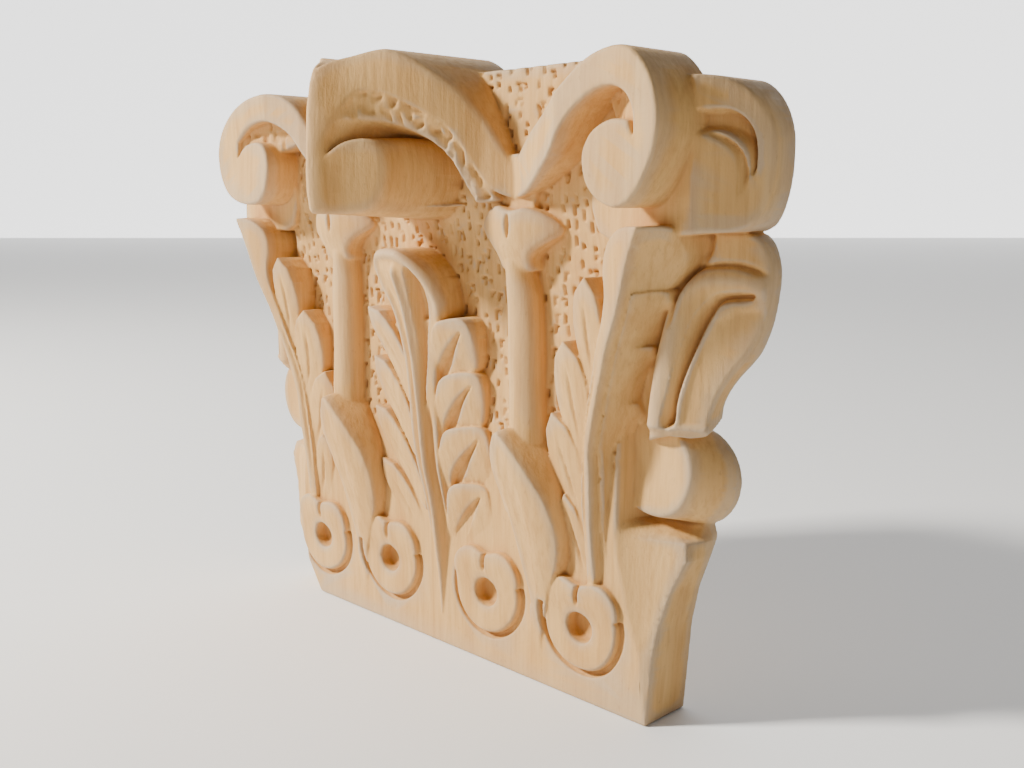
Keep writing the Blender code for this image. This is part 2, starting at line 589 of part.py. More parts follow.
def wood():
    """Bare pale wood, sanded and unfinished."""
    material = bpy.data.materials.new("bare_pale_wood")
    material.use_nodes = True
    shader = material.node_tree.nodes["Principled BSDF"]
    shader.inputs["Base Color"].default_value = WOOD_COLOUR
    shader.inputs["Roughness"].default_value = WOOD_ROUGHNESS
    return material


for existing in list(bpy.data.objects):
    bpy.data.objects.remove(existing)

part_collection = new_collection("carved_wooden_capital")
form_collection = new_collection("carved_forms")
cutter_collection = new_collection("cutters")
tool_collection = new_collection("shaping_tools")

# The part's origin is under the middle of its depth, so the carving's ground lies behind it
stand = bpy.data.objects.new("stand", None)
stand.location.y = (PROW_PROUD - BACK_DEPTH) / 2
part_collection.objects.link(stand)

capital = block()
for side in SIDES:
    wing(side)
    front_volute(side)
    prow(side)
    short_leaf(side)
    stem(side)
    bud(side)
    tall_leaf(f"corner_leaf_{side}", side, CORNER_LEAF_FOOT_X, CORNER_LEAF_TIP_X, CORNER_LEAF_HEIGHT,
              (CORNER_LEAF_INNER_WIDTH, CORNER_LEAF_OUTER_WIDTH), CORNER_LEAF_PROUD)
tall_leaf("centre_leaf", 1, 0.0, 0.0, CENTRE_LEAF_HEIGHT,
          (CENTRE_LEAF_HALF_WIDTH, CENTRE_LEAF_HALF_WIDTH), CENTRE_LEAF_PROUD)
for index, ring_x in enumerate((-RING_OUTER_X, -RING_INNER_X, RING_INNER_X, RING_OUTER_X)):
    ring(index, ring_x)

boolean(capital, form_collection, "UNION")
boolean(capital, cutter_collection, "DIFFERENCE")
capital.data.materials.append(wood())
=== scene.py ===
"""Carved wooden capital, dressed for its picture.

The carving is worked out as a field of distances in millimetres: X across the front, P how far a
point stands proud of the flat ground, Z up from the underside. Each carved form is an outline
across the front with a cap that says how proud its face is. The field is skinned into one mesh.
"""
import math

import bpy
import numpy as np
from mathutils import Matrix, Vector


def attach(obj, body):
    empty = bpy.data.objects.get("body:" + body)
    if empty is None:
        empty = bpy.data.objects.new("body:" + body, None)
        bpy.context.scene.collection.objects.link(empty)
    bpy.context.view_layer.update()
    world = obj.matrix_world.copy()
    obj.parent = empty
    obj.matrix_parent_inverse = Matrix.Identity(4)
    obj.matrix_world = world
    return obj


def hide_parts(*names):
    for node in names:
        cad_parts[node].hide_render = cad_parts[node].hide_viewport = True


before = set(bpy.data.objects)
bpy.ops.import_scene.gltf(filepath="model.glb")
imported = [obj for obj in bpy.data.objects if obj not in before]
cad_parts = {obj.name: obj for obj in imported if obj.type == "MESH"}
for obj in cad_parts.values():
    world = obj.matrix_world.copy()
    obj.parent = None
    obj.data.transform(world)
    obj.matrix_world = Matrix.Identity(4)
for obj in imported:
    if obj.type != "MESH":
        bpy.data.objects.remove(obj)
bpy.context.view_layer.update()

MM = 0.001

# The board, as in the solid
BACK_DEPTH = 11.6
HEIGHT = 114.5
BELL_START_HEIGHT = 72.0
BELL_RIM_HEIGHT = 92.0
BELL_FLARE = 2.4
PROW_PROUD = 29.4
GROUND_Y = (PROW_PROUD - BACK_DEPTH) / 2
STEM_X = 27.2
RING_HEIGHT = 14.6
RING_INNER_X = 15.3
RING_OUTER_X = 40.3
ROLL_X = 53.3
ROLL_HEIGHT = 45.4
ROLL_RADIUS = 8.5
ROLL_LEAN = 5.0
ROLL_DROP = 1.6
ROLL_FACE_DEPTH = 3.9

# How far the volutes stand proud at their eyes, and where the forms above the board end behind
RIGHT_VOLUTE_PROUD = 12.4
LEFT_VOLUTE_PROUD = 10.6
VOLUTE_BACK = -2.0
PROW_BACK = -6.0

# The punched ground: the spacing of its marks, how far they stray, and their size
PUNCH_FOOT = 46.0
PUNCH_TOP = 113.8
PUNCH_REACH = 52.0
PUNCH_ROW = 2.7
PUNCH_COLUMN = 2.6
PUNCH_STAGGER = 1.45
PUNCH_STRAY_X = 0.9
PUNCH_STRAY_Z = 1.1
PUNCH_TALL = (0.30, 0.95)
PUNCH_DEEP = (0.5, 1.0)
PUNCH_LEAN = 0.18
PUNCH_HALF_WIDTH = 0.19
BAR_SHARE = 0.38
BAR_HALF_WIDTH = 0.50
BAR_HALF_HEIGHT = 0.18
BAR_OFFSET = 0.35

# How finely the field is sampled and how many triangles the skin keeps
CELL = 0.30
TRIANGLES_KEPT = 196000
SEED = 41

SIDES = (-1, 1)

across = np.arange(-75.6, 75.7, CELL, dtype=np.float32)
proud = np.arange(-12.8, 30.6, CELL, dtype=np.float32)
up = np.arange(-1.2, 118.4, CELL, dtype=np.float32)
field = np.full((len(across), len(proud), len(up)), 6.0, dtype=np.float32)
draw = np.random.default_rng(SEED)


# Numbers and curves

def smooth_max(a, b, width):
    blend = np.clip(0.5 + 0.5 * (a - b) / width, 0.0, 1.0)
    return b + (a - b) * blend + width * blend * (1.0 - blend)


def smooth_min(a, b, width):
    return -smooth_max(-a, -b, width)


def smooth_step(value, low, high):
    share = np.clip((value - low) / (high - low), 0.0, 1.0)
    return share * share * (3.0 - 2.0 * share)


def curve_through(points, closed=True, steps=6):
    """A smooth line through the points, by Catmull-Rom."""
    count = len(points)
    line = []
    for index in range(count if closed else count - 1):
        if closed:
            around = [points[(index + shift) % count] for shift in (-1, 0, 1, 2)]
        else:
            around = [points[min(max(index + shift, 0), count - 1)] for shift in (-1, 0, 1, 2)]
        before, start, end, after = (np.array(point, dtype=float) for point in around)
        for step in range(steps):
            t = step / steps
            line.append(tuple(0.5 * (2 * start + (end - before) * t
                                     + (2 * before - 5 * start + 4 * end - after) * t * t
                                     + (3 * start - before - 3 * end + after) * t ** 3)))
    if not closed:
        line.append(tuple(points[-1]))
    return line


def polygon_distance(points, x, z):
    """Distance to a closed outline, negative inside it."""
    nearest = np.full(x.shape, 1e9)
    inside = np.zeros(x.shape, dtype=bool)
    for (ax, az), (bx, bz) in zip(points, points[1:] + points[:1]):
        ex, ez = bx - ax, bz - az
        along = np.clip(((x - ax) * ex + (z - az) * ez) / (ex * ex + ez * ez + 1e-12), 0.0, 1.0)
        nearest = np.minimum(nearest, (x - ax - along * ex) ** 2 + (z - az - along * ez) ** 2)
        if az != bz:
            inside ^= ((az > z) != (bz > z)) & (x < ex * (z - az) / ez + ax)
    distance = np.sqrt(nearest)
    return np.where(inside, -distance, distance)


def line_distance(points, x, z):
    """Distance to an open line and how far along it, from 0 to 1, the nearest point lies."""
    nearest = np.full(x.shape, 1e9)
    place = np.zeros(x.shape)
    pieces = len(points) - 1
    for index, ((ax, az), (bx, bz)) in enumerate(zip(points, points[1:])):
        ex, ez = bx - ax, bz - az
        along = np.clip(((x - ax) * ex + (z - az) * ez) / (ex * ex + ez * ez + 1e-12), 0.0, 1.0)
        distance = (x - ax - along * ex) ** 2 + (z - az - along * ez) ** 2
        closer = distance < nearest
        nearest = np.where(closer, distance, nearest)
        place = np.where(closer, (index + along) / pieces, place)
    return np.sqrt(nearest), place


def window(low_x, high_x, low_z, high_z, side=1):
    """The part of the front between these limits: its slices and its X and Z, X measured outward."""
    if side < 0:
        low_x, high_x = -high_x, -low_x
    in_x = slice(*np.searchsorted(across, (low_x, high_x)))
    in_z = slice(*np.searchsorted(up, (low_z, high_z)))
    x, z = np.meshgrid(across[in_x] * side, up[in_z], indexing="ij")
    warp_x = 0.22 * np.sin(z / 6.3 + 0.7 * side) + 0.12 * np.sin(z / 2.9 + x / 5.1)
    warp_z = 0.20 * np.sin(x / 5.7 + 1.1) + 0.10 * np.sin(x / 2.3 + z / 4.7)
    return (in_x, in_z), x + warp_x, z + warp_z


def add(place, distance, cap, edge=0.8, fillet=0.3, back=None):
    """Adds a form to the field: an outline seen from the front, closed by its cap and its back."""
    in_x, in_z = place
    top = proud[None, :, None] - cap[:, None, :].astype(np.float32)
    form = smooth_max(distance[:, None, :].astype(np.float32), top, edge)
    if back is not None:
        form = smooth_max(form, (back - proud)[None, :, None], 0.5)
    field[in_x, :, in_z] = smooth_min(field[in_x, :, in_z], form, fillet)


def groove(cap, points, x, z, width, depth, fade=0.15):
    """Cuts a gouge line into a cap, tapering at both ends."""
    distance, place = line_distance(points, x, z)
    taper = smooth_step(place, 0.0, fade) * smooth_step(1.0 - place, 0.0, fade)
    return cap - depth * taper * np.exp(-(distance / (0.5 * width + 1e-6)) ** 2)


def rough(x, z, pitch):
    """Uneven chipped marks, from 0 to 1, taller than they are wide."""
    values = draw.random((64, 64))
    u, v = (x / pitch) % 62.0, (z / (1.7 * pitch)) % 62.0
    i, j = np.floor(u).astype(int), np.floor(v).astype(int)
    a, b = u - i, v - j
    low = values[i, j] * (1 - a) + values[i + 1, j] * a
    high = values[i, j + 1] * (1 - a) + values[i + 1, j + 1] * a
    return low * (1 - b) + high * b


def gouged(cap, outline, x, z, slope, deepest):
    """Cuts a crisp V into a cap inside an outline, deepest along its middle."""
    inside = -polygon_distance(outline, x, z)
    return cap - np.clip(slope * inside, 0.0, deepest)


# The board

def bell(z):
    share = np.clip((z - BELL_START_HEIGHT) / (BELL_RIM_HEIGHT - BELL_START_HEIGHT), 0.0, 1.0)
    return BELL_FLARE * share * share


def punched(x, z, cap):
    """Ground stippled with a small punch: upright slots, some with a short bar across the top."""
    cut = np.zeros(x.shape)
    for row, height in enumerate(np.arange(PUNCH_FOOT, PUNCH_TOP, PUNCH_ROW)):
        for column in np.arange(-PUNCH_REACH, PUNCH_REACH + 0.1, PUNCH_COLUMN):
            centre_x = column + (row % 2) * PUNCH_STAGGER + draw.uniform(-PUNCH_STRAY_X, PUNCH_STRAY_X)
            centre_z = height + draw.uniform(-PUNCH_STRAY_Z, PUNCH_STRAY_Z)
            tall = draw.uniform(*PUNCH_TALL)
            depth = draw.uniform(*PUNCH_DEEP)
            lean = draw.uniform(-PUNCH_LEAN, PUNCH_LEAN)
            has_bar = draw.random() < BAR_SHARE
            bar_side = draw.choice((-1.0, 1.0))
            in_x = slice(*np.searchsorted(across, (centre_x - 2.2, centre_x + 2.2)))
            in_z = slice(*np.searchsorted(up, (centre_z - 3.0, centre_z + 3.0)))
            near_x = x[in_x, in_z] - centre_x
            near_z = z[in_x, in_z] - centre_z
            slot = np.maximum(np.abs(near_x - lean * near_z) - PUNCH_HALF_WIDTH, np.abs(near_z) - tall)
            if has_bar:
                bar_x = near_x - BAR_OFFSET * bar_side
                bar = np.maximum(np.abs(bar_x) - BAR_HALF_WIDTH, np.abs(near_z - tall) - BAR_HALF_HEIGHT)
                slot = np.minimum(slot, bar)
            mark = depth * smooth_step(-slot, -0.34, 0.20)
            cut[in_x, in_z] = np.maximum(cut[in_x, in_z], mark)
    ripple = 0.10 * np.sin(x / 1.9 + 2.0 * np.sin(z / 5.0)) * np.sin(z / 3.1)
    inside = smooth_step(z, 44.0, 47.0)
    return cap - inside * (cut + np.abs(ripple))


def board():
    place, x, z = window(-200.0, 200.0, -200.0, 200.0)
    cap = punched(x, z, bell(z))
    distance = up[None, :] - HEIGHT + 0.0 * x
    for side, cut_x, slope in ((-1, 36.5, 0.45), (1, 41.0, 0.62)):
        over = z - HEIGHT + slope * (side * x - cut_x)
        distance = np.maximum(distance, over / math.hypot(1.0, slope))
    add(place, distance, cap, edge=0.5)

    depth = -proud[:, None]
    height = up[None, :]
    for side in SIDES:
        if side > 0:
            front = np.interp(height, (0, 13, 19, 30, 33, 60), (55.8, 54.2, 51.6, 48.6, 48.2, 48.6))
            corner = np.interp(height, (0, 13, 30, 33, 36), (0.5, 0.9, 4.6, 5.2, 7.0))
            outer = np.interp(height, (0, 10, 17, 24, 30, 33, 36), (55.6, 56.0, 56.4, 57.8, 60.2, 59.5, 50.6))
        else:
            front = np.interp(height, (0, 7, 14, 30, 33, 60), (43.0, 48.0, 49.6, 48.6, 48.2, 48.6))
            corner = np.interp(height, (0, 14, 30, 33, 36), (6.3, 3.0, 4.6, 5.2, 7.0))
            outer = np.interp(height, (0, 10, 17, 24, 30, 33, 36), (54.6, 55.2, 56.0, 57.6, 60.2, 59.5, 50.6))
        back = np.interp(height, (0, 10, 17, 24, 34, 44, 56, 62), (55.3, 56.2, 56.8, 58.3, 62.0, 61, 58, 57))
        share = np.clip(depth / corner, 0.0, 1.0)
        behind = np.clip((depth - corner) / (BACK_DEPTH - corner), 0.0, 1.0)
        half = front + (outer - front) * share ** 1.45 + (back - outer) * behind
        limit = 0.85 * (side * across[:, None, None] - half[None, :, :])
        field[:] = smooth_max(field, limit.astype(np.float32), 0.7)


# The sides

def roll(side):
    """Rolled leaf tip: a round whose axis leans outward toward the back."""
    place, x, z = window(40, 70, 30, 58, side)
    depth = np.clip((-proud - ROLL_FACE_DEPTH) / (BACK_DEPTH - ROLL_FACE_DEPTH), 0.0, 1.0)[None, :, None]
    centre_x = ROLL_X + ROLL_LEAN * depth
    centre_z = ROLL_HEIGHT - ROLL_DROP * depth
    distance = np.sqrt((x[:, None, :] - centre_x) ** 2 + (z[:, None, :] - centre_z) ** 2) - ROLL_RADIUS
    dish = 0.5 * np.exp(-((x - 52.5) ** 2 + (z - 45.0) ** 2) / 22.0)
    face = proud[None, :, None] - (-3.5 - dish)[:, None, :]
    form = smooth_max(distance, face, 0.7).astype(np.float32)
    in_x, in_z = place
    field[in_x, :, in_z] = smooth_min(field[in_x, :, in_z], form, 0.3)


def wing_leaf(side):
    """Broad leaf between the roll and the side volute: a round rim, a V gouge and a flat tongue."""
    place, x, z = window(44, 75, 50, 88, side)
    outline = [(46, 86), (60, 86.2), (68, 86.3), (70.8, 85.4), (72.4, 82.4), (72.8, 78.4), (71.8, 72.4),
               (69.2, 66.6), (66.8, 61.6), (64.8, 56.0), (64.0, 52.4), (58, 52.0), (46, 52)]
    distance = polygon_distance(curve_through(outline, steps=4), x, z)
    cap = np.minimum(-0.6 - 0.55 * (x - 58.8), -0.6)
    rim = curve_through([(56.0, 53), (56.4, 60), (57.8, 67), (59.6, 73.2), (62.0, 77.2), (65.6, 78.8),
                         (69.4, 78.8), (72.6, 77)], closed=False)
    from_rim = line_distance(rim, x, z)[0]
    cap = cap + 1.1 * np.exp(-(from_rim / 1.9) ** 2)
    crease = [(58.4, 70), (59.5, 75.0), (61.0, 79.0), (63.0, 80.6), (66.0, 81.2), (69.0, 81.0), (72.8, 79.4)]
    cap = groove(cap, curve_through(crease, closed=False), x, z, 0.9, 1.1, fade=0.12)
    gouge = [(57.2, 54.0), (58.6, 60.8), (60.0, 66.6), (61.5, 71.4), (63.6, 74.8), (66.0, 76.8), (70.6, 77.0),
             (70.4, 75.6), (66.4, 74.8), (64.6, 72.2), (62.9, 68.4), (61.3, 63.6), (60.1, 58.6), (59.5, 54.0)]
    cap = gouged(cap, curve_through(gouge, steps=4), x, z, 2.2, 2.6)
    tongue = [(59.8, 54), (61.4, 63.6), (63.1, 68.6), (65.0, 72.2), (68.0, 74.4), (72, 74.8), (74, 66),
              (66, 54)]
    cap = cap - 0.5 * smooth_step(-polygon_distance(tongue, x, z), -0.1, 1.0)
    cap = cap - 2.2 * smooth_step(x, 55.2, 51.0) - 1.0 * smooth_step(z, 53.8, 52.4)
    junction = [(63.6, 87), (63.4, 83.4), (62.0, 80.6), (60.2, 78.2), (57.6, 74.6), (55.4, 68.2),
                (53.6, 59.0), (51.4, 50)]
    cap = groove(cap, curve_through(junction, closed=False), x, z, 2.0, 2.0, fade=0.06)
    in_x, in_z = place
    waist = (0.33 * smooth_step(z, 68.0, 57.0))[:, None, :]
    behind = np.maximum(-3.4 - proud, 0.0)[None, :, None]
    sides = distance[:, None, :] + waist * behind
    top = proud[None, :, None] - cap[:, None, :]
    form = smooth_max(sides, top, 0.8).astype(np.float32)
    field[in_x, :, in_z] = smooth_min(field[in_x, :, in_z], form, 0.2)


def side_volute(side):
    place, x, z = window(44, 76, 84, 112, side)
    outline = [(46, 110.2), (60, 110.4), (66.4, 110.5), (69.6, 109.5), (72.3, 106.6), (73.8, 102.6),
               (74.1, 98.0), (73.9, 93.4), (72.8, 89.4), (70.6, 86.9), (66, 86.3), (46, 86.2)]
    distance = polygon_distance(curve_through(outline, steps=5), x, z)
    cap = np.minimum(3.1 - 0.98 * (x - 65.1), 3.0)
    hollow = curve_through([(60, 103.8), (65.5, 105.4), (69.2, 105.4), (71.6, 102.4), (72.2, 97.0),
                            (71.5, 95.4), (70.4, 99.4), (68.2, 101.6), (65.5, 101.7), (60, 101)])
    inside = -polygon_distance(hollow, x, z)
    cap = cap - 3.3 * smooth_step(inside, -0.1, 1.1)
    eye_line = curve_through([(63.0, 101.8), (67.0, 101.6), (69.8, 99.2), (70.8, 95.4), (70.4, 92.0)],
                             closed=False)
    cap = groove(cap, eye_line, x, z, 0.8, 1.3, fade=0.35)
    add(place, distance, cap, edge=0.8, fillet=0.15)


# Volutes of the front

def band_proud(x, end_proud):
    return np.interp(x, (20.0, 26.8, 34.5, 44.0), (3.2, 4.2, 7.8, end_proud))


RIGHT_VOLUTE = [(26.6, 97.8), (30.4, 100.4), (34.5, 103.3), (38.8, 105.8), (43.0, 108.0), (49.0, 112.2),
                (53.5, 113.9), (59.0, 114.3), (62.3, 112.0), (64.4, 108.6), (65.3, 104.0), (64.9, 99.6),
                (63.3, 95.4), (60.8, 91.8), (57.6, 90.0), (54.0, 91.0), (51.4, 93.4), (50.2, 96.4),
                (50.3, 99.4), (52.3, 102.2), (55.8, 103.6), (59.4, 103.2)]
RIGHT_HOLLOW = [(60.5, 101.0), (60.2, 104.9), (58.3, 107.6), (54.9, 108.5), (50.8, 107.4), (46.5, 104.3),
                (41.7, 98.9), (35.9, 94.7), (31.0, 92.6), (26.6, 91.4)]
LEFT_VOLUTE = [(26.6, 97.8), (30.0, 101.5), (33.6, 108.0), (37.8, 112.6), (43.0, 114.1), (49.8, 113.5),
               (56.5, 110.8), (61.6, 106.6), (64.0, 101.4), (63.9, 96.6), (61.5, 93.2), (57.0, 91.0),
               (52.2, 90.2), (47.4, 91.2), (44.6, 94.0), (43.4, 98.0), (43.9, 101.0), (46.2, 103.4),
               (50.0, 103.9), (53.6, 102.9), (56.0, 100.9)]
LEFT_HOLLOW = [(55.4, 104.0), (50.8, 107.2), (45.4, 108.3), (41.2, 107.4), (37.6, 105.3), (34.6, 101.6),
               (31.6, 97.0), (26.6, 91.4)]


def front_volute(side, shape, hollow, end_proud):
    place, x, z = window(20, 68, 86, 116, side)
    distance = polygon_distance(curve_through(shape, closed=False, steps=4)
                                + curve_through(hollow, closed=False, steps=4), x, z)
    cap = band_proud(x, end_proud) + 0.25 * np.sin(z / 3.7 + x / 6.0)
    add(place, distance, cap, edge=0.75, back=VOLUTE_BACK)
    floor = polygon_distance(curve_through(
        hollow[:5] + [(shape[-2][0], shape[-2][1] - 3), shape[-1]]), x, z)
    slope = np.interp(x, (hollow[4][0] - 2.0, hollow[0][0]), (4.4, end_proud - 1.3))
    marks = 1.6 * np.maximum(rough(x, z, 0.9) - 0.55, 0.0)
    add(place, floor - 0.8, slope - marks, edge=0.6, back=VOLUTE_BACK)


PROW_TOP = [(-2.4, 113.2), (0.0, 114.6), (2.0, 116.1), (4.4, 117.0), (6.9, 117.6), (9.2, 117.8),
            (10.8, 117.4), (13.3, 116.1), (15.9, 114.0), (18.8, 111.1), (22.4, 105.6), (25.3, 100.4),
            (27.1, 97.8), (28.6, 95.4)]
PROW_UNDER = [(27.6, 91.2), (23.4, 93.0), (20.9, 97.0), (19.5, 100.6), (17.6, 104.0), (15.2, 106.2),
              (12.6, 108.2), (10.2, 109.8), (7.8, 110.6), (5.8, 110.0), (4.5, 107.6), (3.4, 105.2),
              (2.4, 102.8), (1.9, 100.4), (1.6, 97.0), (1.6, 92.0), (1.6, 89.6), (-2.4, 89.6)]
PROW_GOUGE = [(1.7, 100.4), (2.6, 103.6), (4.2, 105.6), (7.4, 105.8), (10.6, 104.9), (13.2, 103.4),
              (15.8, 101.2), (18.0, 98.0), (19.4, 94.0), (20.0, 89.0), (8.0, 88.0), (5.0, 98.0)]
PROW_EYE = [(-2.4, 89.6), (-2.4, 93.0), (-2.4, 96.8), (0.6, 98.2), (2.3, 99.8), (4.2, 101.7), (6.8, 102.4),
            (8.9, 101.2), (9.9, 97.8), (9.7, 93.6), (8.6, 91.0), (6.8, 89.6), (3.6, 89.2)]


def prow_proud(x, z):
    facet = np.interp(np.abs(x), (0.0, 0.9, 8.0, 16.5, 22.0, 27.2), (29.6, 29.1, 21.9, 14.0, 8.0, 4.2))
    bow = np.interp(z, (88, 90, 93, 97, 108, 112, 117), (-1.2, -0.5, 0.0, 0.2, -0.5, -1.2, -2.8))
    return facet + bow * smooth_step(x, 14.0, 2.0)


def prow(side):
    place, x, z = window(-2.5, 34, 86, 118.4, side)
    facet = prow_proud(x, z)
    distance = polygon_distance(curve_through(PROW_TOP, closed=False, steps=4)
                                + curve_through(PROW_UNDER, closed=False, steps=4), x, z)
    ripple = 0.16 * (rough(x, z, 2.6) - 0.5)
    add(place, distance, facet + ripple, edge=0.8, back=PROW_BACK)
    eye = polygon_distance(curve_through(PROW_EYE, steps=5), x, z)
    back_swell = 0.05 * np.maximum(facet[:, None, :] - proud[None, :, None] - 2.0, 0.0)
    in_x, in_z = place
    top = proud[None, :, None] - (facet + ripple)[:, None, :]
    form = smooth_max(eye[:, None, :] - back_swell, top, 0.9)
    field[in_x, :, in_z] = smooth_min(field[in_x, :, in_z], form.astype(np.float32), 0.15)
    # Chipped slope under the band, then a deep smooth gouge round the eye
    ground = polygon_distance([(-2.5, 89.6), (-2.5, 112.0), (8, 112.5), (17, 107), (22, 99), (24, 91)], x, z)
    gouge = -polygon_distance(curve_through(PROW_GOUGE, steps=4), x, z)
    depth = 0.35 + 0.34 * np.maximum(distance, 0.0) + 3.2 * smooth_step(gouge, -0.3, 1.3)
    depth = depth + 4.6 * np.maximum(gouge - 0.9, 0.0)
    chips = np.maximum(rough(x, z, 0.75) - 0.42, 0.0) * 2.2 * smooth_step(gouge, 0.6, -0.4)
    add(place, ground, facet - depth - chips, edge=0.5, fillet=0.1)
    # Where the two bands meet they run on as one, down to the bud
    apron = [(21.0, 97.0), (27.2, 99.6), (33.4, 97.0), (31.8, 92.6), (30.4, 87.6), (24.0, 87.6), (22.6, 92.6)]
    apron_cap = np.interp(z, (88, 93, 98), (3.7, 3.9, 4.3)) - 0.02 * (x - STEM_X) ** 2
    add(place, polygon_distance(curve_through(apron, steps=4), x, z), apron_cap, edge=0.7, fillet=0.5)


# Buds, stems, short leaves and rings

def bud(side):
    place, x, z = window(STEM_X - 12, STEM_X + 12, 76, 93, side)
    x = x - STEM_X
    half = [(3.2, 78.8), (3.9, 81.2), (5.8, 83.4), (10.0, 86.2), (8.4, 88.4), (4.0, 90.2), (0.0, 89.5)]
    outline = half + [(-px, pz) for px, pz in reversed(half[:-1])]
    distance = polygon_distance(curve_through(outline, steps=5), x, z)
    cap = bell(z) + 5.2 - 0.040 * x * x - 0.035 * (z - 85.0) ** 2
    slit = np.abs(x) - 0.42 * (1.0 - ((z - 86.9) / 2.2) ** 2)
    cap = cap - 1.2 * smooth_step(-slit, -0.25, 0.35) * (np.abs(z - 86.9) < 2.4)
    add(place, distance, cap, edge=0.9)


def stem(side):
    place, x, z = window(STEM_X - 9, STEM_X + 9, 44, 82, side)
    centre = STEM_X + 0.6 - 0.035 * (z - 50.0)
    radius = 3.7 - 0.010 * (z - 50.0) - 0.5 * smooth_step(z, 74.0, 79.0)
    offset = (x - centre) / radius
    distance = np.maximum((np.abs(offset) - 1.0) * radius, np.maximum(45.0 - z, z - 81.0))
    cap = bell(z) + 4.8 * np.sqrt(np.clip(1.0 - 0.80 * offset ** 2, 0.05, 1.0))
    add(place, distance, cap, edge=0.9, fillet=0.5)


def short_leaf(side):
    """Smooth leaf between two rings: a flat blade with a steep wall, and a thin stalk below.

    Both lean the same way, toward the left.
    """
    middle_x = side * STEM_X
    place, x, z = window(middle_x - 12, middle_x + 14, 2, 53)
    x = x - middle_x
    right = [(-0.8, 49.2), (2.4, 46.4), (5.7, 42.5), (8.5, 37.5), (9.4, 31.7), (8.4, 25.1), (5.8, 18.5),
             (3.6, 12.0), (2.6, 4.0)]
    left = [(0.2, 4.0), (0.3, 12.0), (0.6, 18.3), (-0.2, 22.5), (-1.5, 30.0), (-3.6, 37.1), (-3.9, 44.0),
            (-2.6, 48.4)]
    blade = polygon_distance(curve_through(right + left, steps=4), x, z)
    root = polygon_distance(curve_through(
        [(-2.6, 48.8), (-0.8, 50.0), (3.0, 49.7), (5.4, 46.4), (9.0, 39.9), (10.2, 33), (9.4, 25.6),
         (6.4, 18), (4.0, 11.0), (3.0, 4.0)] + left, steps=4), x, z)
    face = np.interp(z, (4, 10, 18, 30, 42, 50), (-0.2, 0.5, 2.0, 4.6, 7.4, 8.2))
    middle = np.interp(z, (4, 12, 24, 36, 46, 50), (1.4, 1.6, 3.0, 3.0, 0.4, -1.4))
    cap = face - 0.035 * (x - middle) ** 2 - 0.3 * np.exp(-((x - middle + 1.0) / 1.6) ** 2)
    cap = cap - 2.6 * np.maximum(blade, 0.0)
    cap = groove(cap, curve_through([(0.8, 15), (-0.1, 22), (-1.2, 29), (-2.4, 34)], closed=False),
                 x, z, 0.8, 1.0)
    add(place, root, cap, edge=0.45, fillet=0.15)


def ring(middle_x):
    place, x, z = window(middle_x - 12, middle_x + 12, 1, 30)
    x = x - middle_x
    from_eye = np.sqrt(x ** 2 + (1.08 * (z - RING_HEIGHT)) ** 2)
    lobe = np.minimum(np.hypot(x - 4.0, z - 18.6), np.hypot(x + 4.0, z - 18.6)) - 5.0
    distance = smooth_min(from_eye - 8.7, lobe, 1.0)
    cap = 0.45 + 0.35 * np.cos(np.clip((from_eye - 6.0) / 3.0, -1.5, 1.5)) + 1.3 * smooth_step(z, 14, 23)
    crease = np.abs(x + 0.25 * np.sin(z)) + 0.3 * np.maximum(RING_HEIGHT + 5.4 - z, 0.0)
    cap = cap - 1.3 * np.exp(-(crease / 0.38) ** 2) * smooth_step(z, 18.0, 20.0)
    add(place, distance, cap, edge=0.5)
    in_x, in_z = place
    cut = np.maximum(np.abs(from_eye - 9.6) - 0.65, z - 17.5)
    floor = -1.1 + 0.35 * smooth_step(x, 4.0, 9.0)
    tool = smooth_max(cut[:, None, :], floor[:, None, :] - proud[None, :, None], 0.4)
    field[in_x, :, in_z] = smooth_max(field[in_x, :, in_z], -tool.astype(np.float32), 0.2)
    eye = smooth_max((from_eye - 3.2)[:, None, :], -2.3 - proud[None, :, None], 1.2)
    field[in_x, :, in_z] = smooth_max(field[in_x, :, in_z], -eye.astype(np.float32), 0.3)


# Tall leaves

def petal(root, bend, tip, half_width, steps=9):
    """Outline of one leaflet along a curved spine, and the spine itself."""
    spine = []
    for step in range(steps + 1):
        t = step / steps
        spine.append(tuple((1 - t) ** 2 * np.array(root) + 2 * t * (1 - t) * np.array(bend)
                           + t * t * np.array(tip)))
    left, right = [], []
    for step in range(1, steps + 1):
        (ax, az), (bx, bz) = spine[step - 1], spine[step]
        length = math.hypot(bx - ax, bz - az)
        share = step / steps
        half = half_width * (0.30 + 0.70 * math.sin(math.pi * min(share, 0.62) / 1.24))
        half *= math.sqrt(max(1.0 - ((share - 0.62) / 0.38) ** 2, 0.0)) if share > 0.62 else 1.0
        nx, nz = -(bz - az) / length * half, (bx - ax) / length * half
        left.append((bx + nx, bz + nz))
        right.append((bx - nx, bz - nz))
    return [spine[0]] + left + list(reversed(right)), spine


CENTRE_RIDGE = ((6, 14, 24, 38, 60, 72, 78, 83), (-0.4, 0.5, 2.0, 4.0, 5.9, 8.2, 10.0, 10.4))
CORNER_RIDGE = ((6, 14, 30, 47.6, 59, 67, 74.6, 87), (-0.3, 0.3, 2.0, 3.8, 5.3, 6.6, 7.8, 9.4))
CORNER_LINE = ((6, 14, 30, 47.6, 59, 67, 74.6, 87), (43.8, 43.8, 44.0, 44.9, 47.6, 50.8, 54.2, 59.4))

